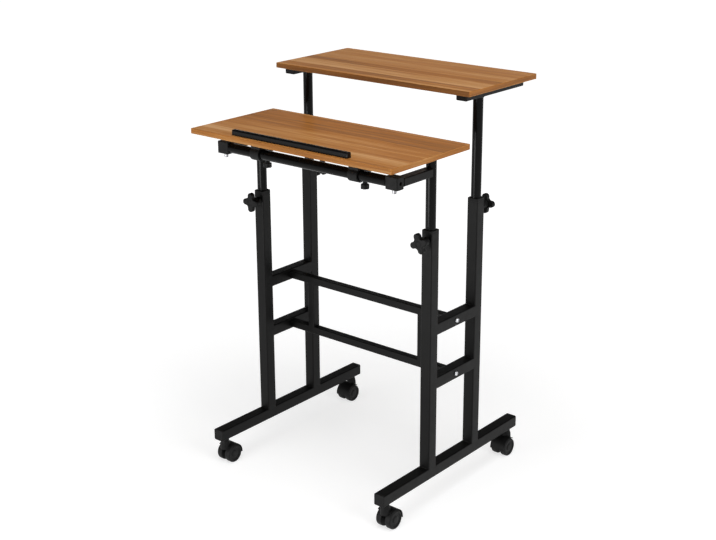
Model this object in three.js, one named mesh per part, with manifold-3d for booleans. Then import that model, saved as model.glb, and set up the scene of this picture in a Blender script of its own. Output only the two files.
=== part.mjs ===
// Two-tier rolling sit-stand desk. Millimetres, +Z up, +X to the right, +Y to the back.
// The origin is on the floor under the middle of the two side frames.
import * as THREE from 'three';
import { mergeVertices } from 'three/addons/utils/BufferGeometryUtils.js';
import Module from 'manifold-3d';

const wasm = await Module();
wasm.setup();

// Driving dimensions across the desk: the width of the desk top, and where the rest stands in it
const deskWidth = 626;
const deskOverhang = 43;
const shelfInset = 9;
const strutInset = 88;
const clampInset = 116;
const sideSpacing = deskWidth - 2 * deskOverhang;

// Driving dimensions: the side frames
const footLength = 564;
const footClearance = 70;
const postSpacing = 182;
const frontPostTop = 711;
const rearPostTop = 748;
const upperRungHeight = 460;
const lowerRungHeight = 320;

// Driving dimensions: the two boards
const boardThickness = 13;
const boardCorner = 4;
const boardEdge = 1;
const deskTopHeight = 903;
const deskDepth = 294;
const deskFront = -292;
const shelfTopHeight = 1023;
const shelfDepth = 286;
const shelfFront = 6;

// Travel of the two lifts above the height shown, and the tube left in the post at the top
const deskRaise = 200;
const shelfRaise = 200;
const postEngaged = 105;

// Tube stock: outer size, wall and corner radius
const frameTube = { width: 30, height: 30, wall: 1.5, corner: 3 };
const crossTube = { width: 20, height: 20, wall: 1.2, corner: 2 };
const railTube = { width: 25, height: 20, wall: 1.5, corner: 2.5 };
const bracketTube = { width: 30, height: 15, wall: 1.5, corner: 2.5 };
const roundTube = { radius: 12.5, wall: 1.5 };

// Clearances of fixed pieces and of sliding or turning ones, and the overrun of every cut
const seatGap = 0.3;
const runningGap = 0.3;
const overrun = 2;

// Facets of a small circle, of a wheel and of a large circle, and steps of an outer corner, of a
// bore's corner and of half a wide arc
const smallRound = 12;
const wheelRound = 16;
const largeRound = 20;
const cornerSteps = 2;
const boreSteps = 1;
const arcSteps = 4;

// The table frame: its front rail is the axis on which the desk top tilts
const tiltAxisInset = 72;
const tiltAxisDrop = 40;
const copeDepth = 3;
const cornerBlock = {
  width: 36, depth: 26, height: 30, corner: 3.5, edge: 1.2,
  roundSpigot: 22, railSpigot: 25, sightHole: 4, screwHole: 9.5,
};
const blockScrew = { shank: 2, head: 4.5, headHeight: 2.6, length: 9, shoulderShare: 0.6 };
const restPad = { head: 3.4, stem: 12 };

// Split clamps that carry the desk top on the front rail, and the knobs that close them
const tiltClamp = {
  width: 28, wall: 4, slit: 3, lip: 6, lipReach: 40, screwReach: 31,
  flange: 4, flangeFront: 24, flangeRear: 48, neck: 22, flare: 8,
};
const tiltKnob = {
  head: 17, radius: 10, lobes: 6, lobeRadius: 2.4, valleyRadius: 4, edge: 1.2, lobeSteps: 2, edgeSteps: 1,
  hub: 14, hubRadius: 6.5, screw: 3, standoff: 1.5, proud: 3,
};

// The stop along the desk top's front edge
const frontStop = { length: 360, depth: 12, height: 12, inset: 10.5, round: 4 };

// Clamp knobs of the posts, with the threaded bosses that they turn in. They are drawn one turn
// loose: the slack is left between a screw's tip and the sliding tube.
const clampKnob = {
  drop: 25, boss: 6, bossRadius: 8, screw: 4, thread: 3, slack: 1.2, hub: 12, hubRoot: 9, hubTop: 11,
  head: 12, radius: 25, lobes: 4, lobeRadius: 8, valleyRadius: 7.5, edge: 2.5, lobeSteps: 4, edgeSteps: 1,
};
const knobTurns = { front_left: 0, front_right: 22, rear_left: 30, rear_right: 0 };

// Plastic collars in the post tops, and the glides of the sliding tubes
const collar = { flange: 8, legs: 10, legRelief: 1.4, edge: 1.2 };
const glideHeight = 20;

// The bracket tube under each end of the shelf, with holes for the board's screws
const bracket = { front: 22, length: 240, screwInset: 45, screwRadius: 3, screwSides: 8 };

// End plugs of the tubes, and the bolts that hold the cross frame
const endPlug = { flange: 3, depth: 10, edge: 1 };
const crossPlug = 16;
const crossBolt = {
  head: 4, headRadius: 5.8, shank: 3, grip: 12, shoulderShare: 0.6,
  drive: 2.5, driveRadius: 2.6, driveSides: 6,
};

// Twin-wheel casters
const caster = {
  inset: 24, trail: 14, wheelRadius: 24, wheelWidth: 16, wheelGap: 1, shoulder: 3, dish: 2, rimInset: 6,
  web: 10, spacer: 6, axle: 3, axleReach: 18, guardGap: 2, guard: 2.5, guardWidth: 44,
  guardRear: -8, guardFront: 126, boss: 8, bossRear: 330, bossFront: 205,
  neckRoot: 13, neckTop: 9.5, neckSink: 9, stem: 5, stemReach: 22,
};

// Colours
const finish = {
  steel: new THREE.MeshStandardMaterial({ color: 0x1b1b1a, roughness: 0.5, metalness: 0.4 }),
  slide: new THREE.MeshStandardMaterial({ color: 0x121212, roughness: 0.3, metalness: 0.6 }),
  plastic: new THREE.MeshStandardMaterial({ color: 0x171717, roughness: 0.6, metalness: 0 }),
  wood: new THREE.MeshStandardMaterial({ color: 0xa8713f, roughness: 0.55, metalness: 0 }),
  zinc: new THREE.MeshStandardMaterial({ color: 0xb9bcc0, roughness: 0.35, metalness: 0.9 }),
  rubber: new THREE.MeshStandardMaterial({ color: 0x202020, roughness: 0.8, metalness: 0 }),
};

// Outlines
function roundedRect(width, height, corner, steps = cornerSteps) {
  const points = [];
  [[1, 1], [-1, 1], [-1, -1], [1, -1]].forEach(([right, up], k) => {
    for (let i = 0; i <= steps; i += 1) {
      const angle = ((k + i / steps) * Math.PI) / 2;
      const x = right * (width / 2 - corner) + corner * Math.cos(angle);
      const y = up * (height / 2 - corner) + corner * Math.sin(angle);
      points.push(new THREE.Vector2(x, y));
    }
  });
  return new THREE.Shape(points);
}

function circlePoints(radius, facets) {
  return Array.from({ length: facets }, (_, i) => {
    const angle = (i * 2 * Math.PI) / facets;
    return new THREE.Vector2(radius * Math.cos(angle), radius * Math.sin(angle));
  });
}

function tubeShape({ width, height, wall, corner }) {
  const shape = roundedRect(width, height, corner);
  shape.holes.push(roundedRect(width - 2 * wall, height - 2 * wall, corner - wall / 2, boreSteps));
  return shape;
}

// Round lobes joined by round valleys that touch them
function lobedShape({ radius, lobes, lobeRadius, valleyRadius, lobeSteps }) {
  const reach = radius - lobeRadius;
  const half = Math.PI / lobes;
  const span = lobeRadius + valleyRadius;
  const valleyReach = reach * Math.cos(half) + Math.sqrt(span ** 2 - (reach * Math.sin(half)) ** 2);
  const flank = Math.atan2(valleyReach * Math.sin(half), valleyReach * Math.cos(half) - reach);
  const sweep = flank - half;
  const points = [];
  const arc = (distance, direction, r, from, to) => {
    for (let i = 0; i < lobeSteps; i += 1) {
      const angle = from + ((to - from) * i) / lobeSteps;
      const x = distance * Math.cos(direction) + r * Math.cos(angle);
      const y = distance * Math.sin(direction) + r * Math.sin(angle);
      points.push(new THREE.Vector2(x, y));
    }
  };
  for (let k = 0; k < lobes; k += 1) {
    const turn = 2 * half * k;
    const mid = turn + half;
    const back = mid + Math.PI;
    arc(reach, turn, lobeRadius, turn - flank, turn + flank);
    arc(valleyReach, mid, valleyRadius, back + sweep, back - sweep);
  }
  return new THREE.Shape(points);
}

// Closed geometries become solids for cuts and joins, and come back as geometries
function solid(geometry) {
  const bare = geometry.clone();
  bare.deleteAttribute('normal');
  bare.deleteAttribute('uv');
  const merged = mergeVertices(bare);
  const index = merged.index.array;
  const triangles = [];
  for (let i = 0; i < index.length; i += 3) {
    const [a, b, c] = index.slice(i, i + 3);
    if (a !== b && b !== c && c !== a) triangles.push(a, b, c);
  }
  const vertProperties = new Float32Array(merged.attributes.position.array);
  const triVerts = new Uint32Array(triangles);
  return new wasm.Manifold(new wasm.Mesh({ numProp: 3, vertProperties, triVerts }));
}

function geometryOf(manifold) {
  const data = manifold.getMesh();
  const geometry = new THREE.BufferGeometry();
  geometry.setAttribute('position', new THREE.BufferAttribute(new Float32Array(data.vertProperties), 3));
  geometry.setIndex(Array.from(data.triVerts));
  geometry.computeVertexNormals();
  return geometry;
}

function prism(shape, length) {
  return new THREE.ExtrudeGeometry(shape, { depth: length, bevelEnabled: false, curveSegments: arcSteps });
}

// A prism of the given whole length with its end edges broken
function softPrism(shape, length, edge, bevelSegments = 1) {
  return new THREE.ExtrudeGeometry(shape, {
    depth: length - 2 * edge,
    bevelThickness: edge,
    bevelSize: edge,
    bevelOffset: -edge,
    bevelSegments,
  }).translate(0, 0, edge);
}

function rod(radius, length, facets = smallRound) {
  return prism(new THREE.Shape(circlePoints(radius, facets)), length);
}

function pipe(radius, bore, length) {
  const shape = new THREE.Shape(circlePoints(radius, largeRound));
  shape.holes.push(new THREE.Path(circlePoints(bore, largeRound)));
  return prism(shape, length);
}

function lathe(points, facets) {
  const profile = points.map(([r, z]) => new THREE.Vector2(r, z));
  return new THREE.LatheGeometry(profile, facets).rotateX(Math.PI / 2);
}

const alongX = (geometry) => geometry.rotateY(Math.PI / 2);
const alongY = (geometry) => geometry.rotateX(-Math.PI / 2);

// Places worked out from the sizes above
const sides = { left: -1, right: 1 };
const frameX = (side) => (side * sideSpacing) / 2;
const postFace = frameTube.height / 2;
const footTop = footClearance + frameTube.height;
const deskUnderside = deskTopHeight - boardThickness;
const tiltAxisY = deskFront + tiltAxisInset;
const tiltAxisZ = deskUnderside - tiltAxisDrop;
const shelfUnderside = shelfTopHeight - boardThickness;
const slideBore = roundTube.radius - roundTube.wall;

const desk = new THREE.Group();

function add(group, name, geometry, material, position = [0, 0, 0], rotation = [0, 0, 0]) {
  const mesh = new THREE.Mesh(geometry, material);
  mesh.name = name;
  mesh.position.set(...position);
  mesh.rotation.set(...rotation);
  group.add(mesh);
}

// A tube along +Y from 0, closed at both ends by plastic plugs
function pluggedTube(stock, length) {
  const { width, height, wall, corner } = stock;
  const { flange, depth, edge } = endPlug;
  const tube = solid(alongY(prism(tubeShape(stock), length - 2 * flange))).translate(0, flange, 0);
  const face = solid(alongY(softPrism(roundedRect(width, height, corner), flange, edge)));
  const core = roundedRect(width - wall, height - wall, corner - wall / 2, boreSteps);
  const front = face.add(solid(alongY(prism(core, flange + depth - edge))).translate(0, edge, 0));
  return tube.add(front).add(front.mirror([0, 1, 0]).translate(0, length, 0));
}

// Side frames: a foot, two posts and two rungs each
function footSolid() {
  const hole = solid(rod(caster.stem + runningGap, frameTube.wall + 2 * overrun))
    .translate(0, 0, -overrun - postFace);
  let foot = pluggedTube(frameTube, footLength);
  for (const y of [caster.inset, footLength - caster.inset]) foot = foot.subtract(hole.translate(0, y, 0));
  return foot;
}

// A clamp knob's threaded boss stands on the post's -Y face, and its screw passes the wall
function postSolid(length) {
  const knobZ = length + seatGap + collar.flange - clampKnob.drop;
  const { boss, bossRadius, screw } = clampKnob;
  const tube = solid(prism(tubeShape(frameTube), length));
  const nut = solid(rod(bossRadius, boss + frameTube.wall / 2)).rotate([90, 0, 0]);
  const hole = solid(rod(screw + runningGap, boss + frameTube.wall + 2 * overrun)).rotate([90, 0, 0]);
  return tube.add(nut.translate(0, frameTube.wall / 2 - postFace, knobZ))
    .subtract(hole.translate(0, frameTube.wall + overrun - postFace, knobZ));
}

function rungSolid() {
  const length = postSpacing - frameTube.height - 2 * seatGap;
  const tube = solid(alongY(prism(tubeShape(frameTube), length))).translate(0, -length / 2, 0);
  const hole = solid(alongX(rod(crossBolt.shank + runningGap, frameTube.width + 2 * overrun)));
  return tube.subtract(hole.translate(-overrun - frameTube.width / 2, 0, 0));
}

// A flange flush with the post, and four legs in the corners of its bore
function collarSolid() {
  const { width, height, wall, corner } = frameTube;
  const inside = width - 2 * wall - 2 * seatGap;
  const bore = roundTube.radius + runningGap;
  const flange = solid(softPrism(roundedRect(width, height, corner), collar.flange, collar.edge));
  const hole = solid(rod(bore, collar.flange + 2 * overrun, largeRound)).translate(0, 0, -overrun);
  const square = roundedRect(inside, inside, corner - wall / 2, boreSteps);
  const block = solid(prism(square, collar.legs + collar.edge));
  const relief = solid(rod(bore + collar.legRelief, collar.legs + collar.edge + 2 * overrun));
  const legs = block.subtract(relief.translate(0, 0, -overrun)).translate(0, 0, -collar.legs);
  return flange.subtract(hole).add(legs);
}

const postBase = footTop + seatGap;
const footGeometry = geometryOf(footSolid());
const frontPostGeometry = geometryOf(postSolid(frontPostTop - collar.flange - seatGap - postBase));
const rearPostGeometry = geometryOf(postSolid(rearPostTop - collar.flange - seatGap - postBase));
const rungGeometry = geometryOf(rungSolid());
const collarGeometry = geometryOf(collarSolid());

for (const [name, side] of Object.entries(sides)) {
  const frame = new THREE.Group();
  const half = postSpacing / 2;
  const [frontCollarZ, rearCollarZ] = [frontPostTop - collar.flange, rearPostTop - collar.flange];
  frame.position.x = frameX(side);
  add(frame, `foot_${name}`, footGeometry, finish.steel, [0, -footLength / 2, footClearance + postFace]);
  add(frame, `front_post_${name}`, frontPostGeometry, finish.steel, [0, -half, postBase]);
  add(frame, `rear_post_${name}`, rearPostGeometry, finish.steel, [0, half, postBase], [0, 0, Math.PI]);
  add(frame, `upper_rung_${name}`, rungGeometry, finish.steel, [0, 0, upperRungHeight]);
  add(frame, `lower_rung_${name}`, rungGeometry, finish.steel, [0, 0, lowerRungHeight]);
  add(frame, `front_collar_${name}`, collarGeometry, finish.plastic, [0, -half, frontCollarZ]);
  add(frame, `rear_collar_${name}`, collarGeometry, finish.plastic, [0, half, rearCollarZ]);
  desk.add(frame);
}

// Cross frame: two bars between the rungs, two struts between the bars, and four bolts
function crossbarSolid() {
  const length = sideSpacing - frameTube.width - 2 * seatGap;
  const { width, height, wall, corner } = crossTube;
  const tube = solid(alongX(prism(tubeShape(crossTube), length)));
  const core = roundedRect(width - wall, height - wall, corner - wall / 2, boreSteps);
  const plug = solid(alongX(prism(core, crossPlug)));
  const hole = solid(alongX(rod(crossBolt.shank + runningGap, length + 2 * overrun)));
  return tube.add(plug).add(plug.translate(length - crossPlug, 0, 0)).subtract(hole.translate(-overrun, 0, 0))
    .translate(-length / 2, 0, 0);
}

// A bolt along +X: its head stands out from 0 and its shank runs back
function boltSolid() {
  const { head, headRadius, shank, grip, shoulderShare, drive, driveRadius, driveSides } = crossBolt;
  const length = frameTube.width + seatGap + grip;
  const cap = solid(lathe([
    [0, 0], [headRadius, 0], [headRadius, head / 2], [headRadius * shoulderShare, head], [0, head],
  ], smallRound));
  const pin = solid(rod(shank, length + head / 2)).translate(0, 0, -length);
  const socket = solid(rod(driveRadius, drive + overrun, driveSides)).translate(0, 0, head - drive);
  return cap.add(pin).subtract(socket).rotate([0, 90, 0]);
}

const crossbarGeometry = geometryOf(crossbarSolid());
const strutLength = upperRungHeight - lowerRungHeight - crossTube.height - 2 * seatGap;
const strutGeometry = prism(tubeShape(crossTube), strutLength);
const boltGeometry = geometryOf(boltSolid());
const boltSeat = (sideSpacing + frameTube.width) / 2 + seatGap;

for (const [level, height] of [['upper', upperRungHeight], ['lower', lowerRungHeight]]) {
  add(desk, `${level}_crossbar`, crossbarGeometry, finish.steel, [0, 0, height]);
  add(desk, `${level}_bolt_right`, boltGeometry, finish.zinc, [boltSeat, 0, height]);
  add(desk, `${level}_bolt_left`, boltGeometry, finish.zinc, [-boltSeat, 0, height], [0, 0, Math.PI]);
}
for (const [name, side] of Object.entries(sides)) {
  const strutBase = lowerRungHeight + crossTube.height / 2 + seatGap;
  add(desk, `strut_${name}`, strutGeometry, finish.steel, [frameX(side) - side * strutInset, 0, strutBase]);
}

// A sliding tube with a square plastic glide round its lower end
function slidePost(length) {
  const tube = solid(pipe(roundTube.radius, slideBore, length));
  const inside = frameTube.width - 2 * frameTube.wall - 2 * runningGap;
  const square = roundedRect(inside, inside, frameTube.corner - frameTube.wall / 2, boreSteps);
  const glide = solid(prism(square, glideHeight));
  const bore = solid(rod(slideBore, glideHeight + 2 * overrun, largeRound)).translate(0, 0, -overrun);
  return geometryOf(tube.add(glide.subtract(bore)));
}

// Desk frame: two sliding posts, two side rails, the front rail and its corner blocks
const slideY = -postSpacing / 2;
const deskPostTop = deskUnderside - seatGap - restPad.head - seatGap;
const deskPostBase = frontPostTop - postEngaged - deskRaise;
const railFront = tiltAxisY + cornerBlock.depth / 2 + seatGap;
const railRear = slideY - roundTube.radius + copeDepth;
const blockX = (sideSpacing + railTube.width - cornerBlock.width) / 2;
const frontRailHalf = blockX - cornerBlock.width / 2 - seatGap;

function sideRailSolid() {
  const tube = solid(alongY(prism(tubeShape(railTube), railRear - railFront)));
  const cope = solid(rod(roundTube.radius + seatGap, railTube.height + 2 * overrun, largeRound));
  return tube.subtract(cope.translate(0, slideY - railFront, -overrun - railTube.height / 2));
}

// The right-hand block: a round spigot along -X for the front rail, a square one along +Y
function cornerBlockSolid() {
  const { width, depth, height, corner, edge, roundSpigot, railSpigot, sightHole, screwHole } = cornerBlock;
  const body = solid(softPrism(roundedRect(width, depth, corner), height, edge)).translate(0, 0, -height / 2);
  const spigotWidth = railTube.width - 2 * railTube.wall - 2 * seatGap;
  const spigotHeight = railTube.height - 2 * railTube.wall - 2 * seatGap;
  const section = roundedRect(spigotWidth, spigotHeight, railTube.corner - railTube.wall / 2, boreSteps);
  const spigot = solid(alongY(prism(section, depth / 2 + railSpigot)));
  const round = solid(alongX(rod(slideBore - seatGap, width / 2 + roundSpigot, largeRound)));
  const sight = solid(alongX(rod(sightHole, width + roundSpigot + 2 * overrun)));
  const screw = solid(rod(blockScrew.shank + seatGap, screwHole + overrun))
    .translate(0, 0, -overrun - height / 2);
  return body.add(spigot.translate(frameX(1) - blockX, 0, 0))
    .add(round.translate(-width / 2 - roundSpigot, 0, 0))
    .subtract(sight.translate(-width / 2 - roundSpigot - overrun, 0, 0))
    .subtract(screw);
}

// A pan-head screw: its head hangs below 0 and its shank points up
const blockScrewGeometry = lathe([
  [0, -blockScrew.headHeight], [blockScrew.head * blockScrew.shoulderShare, -blockScrew.headHeight],
  [blockScrew.head, -blockScrew.headHeight / 2], [blockScrew.head, 0],
  [blockScrew.shank, 0], [blockScrew.shank, blockScrew.length], [0, blockScrew.length],
], smallRound);

// A rubber pad with its stem in the post's bore: the desk top rests on it when flat
const padGeometry = lathe([
  [0, -restPad.stem], [slideBore - seatGap, -restPad.stem], [slideBore - seatGap, 0],
  [roundTube.radius, 0], [roundTube.radius, restPad.head / 2],
  [roundTube.radius - restPad.head / 2, restPad.head], [0, restPad.head],
], smallRound);

const sideRailGeometry = geometryOf(sideRailSolid());
const cornerBlocks = { right: cornerBlockSolid(), left: cornerBlockSolid().mirror([1, 0, 0]) };
const deskPostGeometry = slidePost(deskPostTop - deskPostBase);
for (const [name, side] of Object.entries(sides)) {
  const x = frameX(side);
  const blockPlace = [side * blockX, tiltAxisY, tiltAxisZ];
  const screwPlace = [side * blockX, tiltAxisY, tiltAxisZ - cornerBlock.height / 2 - seatGap];
  add(desk, `desk_post_${name}`, deskPostGeometry, finish.slide, [x, slideY, deskPostBase]);
  add(desk, `desk_rest_pad_${name}`, padGeometry, finish.rubber, [x, slideY, deskPostTop + seatGap]);
  add(desk, `side_rail_${name}`, sideRailGeometry, finish.steel, [x, railFront, tiltAxisZ]);
  add(desk, `corner_block_${name}`, geometryOf(cornerBlocks[name]), finish.plastic, blockPlace);
  add(desk, `corner_screw_${name}`, blockScrewGeometry, finish.zinc, screwPlace);
}
const frontRailGeometry = alongX(pipe(roundTube.radius, slideBore, 2 * frontRailHalf));
add(desk, 'front_rail', frontRailGeometry, finish.slide, [-frontRailHalf, tiltAxisY, tiltAxisZ]);

// Boards with small corner radii and broken edges
function addBoard(name, width, depth, front, underside) {
  const geometry = softPrism(roundedRect(width, depth, boardCorner), boardThickness, boardEdge);
  add(desk, name, geometry, finish.wood, [0, front + depth / 2, underside]);
}
addBoard('desk_top', deskWidth, deskDepth, deskFront, deskUnderside);
addBoard('shelf_top', deskWidth - 2 * shelfInset, shelfDepth, shelfFront, shelfUnderside);

// A split clamp: a ring round the front rail, two lips towards the back, a neck and a flange
function tiltClampSolid() {
  const { width, wall, slit, lip, lipReach, screwReach } = tiltClamp;
  const { flange, flangeFront, flangeRear, neck, flare } = tiltClamp;
  const bore = roundTube.radius + runningGap;
  const ring = bore + wall;
  const top = deskUnderside - seatGap - tiltAxisZ;
  const flangeBase = top - flange;
  const lipEdge = slit / 2 + lip;
  const lipAngle = Math.asin(lipEdge / ring);
  const neckAngle = Math.acos(neck / 2 / ring);
  const shape = new THREE.Shape();
  shape.moveTo(lipReach, -lipEdge);
  shape.lineTo(lipReach, lipEdge);
  shape.absarc(0, 0, ring, lipAngle, neckAngle);
  shape.lineTo(neck / 2, flangeBase - flare);
  shape.lineTo(neck / 2 + flare, flangeBase);
  shape.lineTo(flangeRear, flangeBase);
  shape.lineTo(flangeRear, top);
  shape.lineTo(-flangeFront, top);
  shape.lineTo(-flangeFront, flangeBase);
  shape.lineTo(-neck / 2 - flare / 2, flangeBase);
  shape.lineTo(-neck / 2, flangeBase - flare);
  shape.absarc(0, 0, ring, Math.PI - neckAngle, 2 * Math.PI - lipAngle);
  const blank = solid(prism(shape, width));
  const rail = solid(rod(bore, width + 2 * overrun, largeRound)).translate(0, 0, -overrun);
  const gap = solid(new THREE.BoxGeometry(lipReach + overrun, slit, width + 2 * overrun));
  const screw = solid(alongY(rod(tiltKnob.screw + runningGap, 2 * lipEdge + 2 * overrun)));
  return blank.subtract(rail)
    .subtract(gap.translate((lipReach + overrun) / 2, 0, width / 2))
    .subtract(screw.translate(screwReach, -lipEdge - overrun, width / 2))
    .translate(0, 0, -width / 2).rotate([90, 0, 90]);
}

// A knob head along +Z from 0
function knobHead(size) {
  return solid(softPrism(lobedShape(size), size.head, size.edge, size.edgeSteps));
}

// Hub and head grow along +Z from the seat, and the screw runs back through both lips
function tiltKnobSolid() {
  const { hub, hubRadius, screw, standoff, proud, edge } = tiltKnob;
  const back = 2 * tiltClamp.lip + tiltClamp.slit + standoff + proud;
  const neck = solid(rod(hubRadius, hub + edge));
  const pin = solid(rod(screw, back + hub / 2)).translate(0, 0, -back);
  return knobHead(tiltKnob).translate(0, 0, hub).add(neck).add(pin);
}

const tiltClampGeometry = geometryOf(tiltClampSolid());
const tiltKnobGeometry = geometryOf(tiltKnobSolid());
const tiltKnobSeat = tiltAxisZ - tiltClamp.slit / 2 - tiltClamp.lip - tiltKnob.standoff;
for (const [name, side] of Object.entries(sides)) {
  const x = frameX(side) - side * clampInset;
  const knobPlace = [x, tiltAxisY + tiltClamp.screwReach, tiltKnobSeat];
  add(desk, `tilt_clamp_${name}`, tiltClampGeometry, finish.plastic, [x, tiltAxisY, tiltAxisZ]);
  add(desk, `tilt_knob_${name}`, tiltKnobGeometry, finish.plastic, knobPlace, [Math.PI, 0, 0]);
}

// The stop: a strip with its upper edges rounded over
function frontStopGeometry() {
  const { length, depth, height, round } = frontStop;
  const shape = new THREE.Shape();
  shape.moveTo(-depth / 2, 0);
  shape.lineTo(depth / 2, 0);
  shape.absarc(depth / 2 - round, height - round, round, 0, Math.PI / 2);
  shape.absarc(round - depth / 2, height - round, round, Math.PI / 2, Math.PI);
  return prism(shape, length).rotateX(Math.PI / 2).rotateZ(Math.PI / 2);
}
const stopPlace = [
  -frontStop.length / 2, deskFront + frontStop.inset + frontStop.depth / 2, deskTopHeight + seatGap,
];
add(desk, 'front_stop', frontStopGeometry(), finish.plastic, stopPlace);

// Shelf frame: two sliding posts and a bracket tube under each end of the board
const bracketBase = shelfUnderside - seatGap - bracketTube.height;
const shelfPostTop = bracketBase - seatGap;
const shelfPostBase = rearPostTop - postEngaged - shelfRaise;

function bracketSolid() {
  const hole = solid(rod(bracket.screwRadius, bracketTube.height + 2 * overrun, bracket.screwSides));
  let tube = pluggedTube(bracketTube, bracket.length);
  for (const y of [bracket.screwInset, bracket.length - bracket.screwInset]) {
    tube = tube.subtract(hole.translate(0, y, -overrun - bracketTube.height / 2));
  }
  return tube;
}

const bracketGeometry = geometryOf(bracketSolid());
const shelfPostGeometry = slidePost(shelfPostTop - shelfPostBase);
for (const [name, side] of Object.entries(sides)) {
  const x = frameX(side);
  const bracketZ = bracketBase + bracketTube.height / 2;
  add(desk, `shelf_post_${name}`, shelfPostGeometry, finish.slide, [x, postSpacing / 2, shelfPostBase]);
  add(desk, `shelf_bracket_${name}`, bracketGeometry, finish.steel, [x, bracket.front, bracketZ]);
}

// A clamp knob along +Z from the post's face, with its screw towards the sliding tube
function clampKnobSolid() {
  const { boss, screw, thread, slack, hub, hubRoot, hubTop, edge } = clampKnob;
  const hubBase = boss + thread;
  const tip = postFace - roundTube.radius - slack;
  const pin = solid(rod(screw, tip + hubBase + hub / 2)).translate(0, 0, -tip);
  const neck = solid(lathe([
    [0, hubBase], [hubRoot, hubBase], [hubTop, hubBase + hub + edge], [0, hubBase + hub + edge],
  ], smallRound));
  return knobHead(clampKnob).translate(0, 0, hubBase + hub).add(neck).add(pin);
}

const clampKnobBody = clampKnobSolid();
for (const [name, side] of Object.entries(sides)) {
  for (const [end, facing, top] of [['front', -1, frontPostTop], ['rear', 1, rearPostTop]]) {
    const turned = clampKnobBody.rotate([0, 0, knobTurns[`${end}_${name}`]]).rotate([-facing * 90, 0, 0]);
    const place = [frameX(side), facing * (postSpacing / 2 + postFace), top - clampKnob.drop];
    add(desk, `${end}_clamp_knob_${name}`, geometryOf(turned), finish.plastic, place);
  }
}

// A caster's hood: a guard arched over both wheels, a web between them, the axle and the stem.
// It is drawn from the axle with the stem towards -X, then turned so that it trails to +Y.
function casterHoodSolid() {
  const { trail, wheelRadius, web, wheelGap, spacer, axle, axleReach, guard, guardWidth, boss } = caster;
  const inner = wheelRadius + caster.guardGap;
  const outer = inner + guard;
  const rear = THREE.MathUtils.degToRad(caster.guardRear);
  const front = THREE.MathUtils.degToRad(caster.guardFront);
  const bossRear = THREE.MathUtils.degToRad(caster.bossRear);
  const bossFront = THREE.MathUtils.degToRad(caster.bossFront);
  const arch = new THREE.Shape();
  arch.absarc(0, 0, outer, rear, front);
  arch.absarc(0, 0, inner - guard / 2, front, rear, true);
  const plate = new THREE.Shape();
  plate.absarc(0, 0, outer - guard / 2, rear, front);
  plate.absarc(0, 0, boss, bossFront, bossRear);
  const across = (shape, width) => solid(prism(shape, width)).translate(0, 0, -width / 2);
  const cavity = solid(rod(inner, guardWidth, largeRound));
  const neckBase = Math.sqrt(outer ** 2 - trail ** 2) - caster.neckSink;
  const neckTop = footClearance - seatGap - wheelRadius;
  const neck = solid(lathe([
    [0, neckBase], [caster.neckRoot, neckBase], [caster.neckTop, neckTop], [0, neckTop],
  ], smallRound)).rotate([-90, 0, 0]).translate(-trail, 0, 0);
  const stemLength = neckTop - neckBase + caster.stemReach;
  const stem = solid(rod(caster.stem, stemLength)).rotate([-90, 0, 0]).translate(-trail, neckBase, 0);
  const spacerWidth = web + 2 * (wheelGap - runningGap);
  return across(arch, guardWidth).add(neck)
    .subtract(cavity.translate(0, 0, web / 2)).subtract(cavity.translate(0, 0, -web / 2 - guardWidth))
    .add(across(plate, web))
    .add(solid(rod(axle, 2 * axleReach)).translate(0, 0, -axleReach))
    .add(solid(rod(spacer, spacerWidth)).translate(0, 0, -spacerWidth / 2))
    .add(stem)
    .rotate([90, 0, 90]).translate(0, trail, wheelRadius);
}

// One wheel with its inner face at 0: a round outer shoulder, a dished face and a blind bore
function wheelSolid() {
  const { wheelRadius, wheelWidth, axle, axleReach, web, wheelGap, shoulder, dish, rimInset } = caster;
  const bore = axle + runningGap;
  const depth = axleReach - web / 2 - wheelGap + 2 * runningGap;
  const rim = wheelRadius - rimInset;
  return solid(lathe([
    [0, depth], [bore, depth], [bore, 0], [wheelRadius, 0],
    [wheelRadius, wheelWidth - shoulder], [wheelRadius - shoulder, wheelWidth], [rim, wheelWidth],
    [rim - dish, wheelWidth - dish], [0, wheelWidth - dish],
  ], wheelRound));
}

const hoodGeometry = geometryOf(casterHoodSolid());
const wheelGeometry = geometryOf(wheelSolid());
for (const [name, side] of Object.entries(sides)) {
  for (const [end, along] of [['front', -1], ['rear', 1]]) {
    const unit = new THREE.Group();
    unit.position.set(frameX(side), along * (footLength / 2 - caster.inset), 0);
    unit.rotation.z = along > 0 ? Math.PI : 0;
    add(unit, `${end}_caster_hood_${name}`, hoodGeometry, finish.plastic);
    for (const [where, way] of [['inner', side * along], ['outer', -side * along]]) {
      const wheelName = `${end}_wheel_${where}_${name}`;
      const place = [way * (caster.web / 2 + caster.wheelGap), caster.trail, caster.wheelRadius];
      add(unit, wheelName, wheelGeometry, finish.rubber, place, [0, (way * Math.PI) / 2, 0]);
    }
    desk.add(unit);
  }
}

export default desk;
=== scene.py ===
import math

import bmesh
import bpy
from mathutils import Euler, Matrix, Vector


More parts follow.
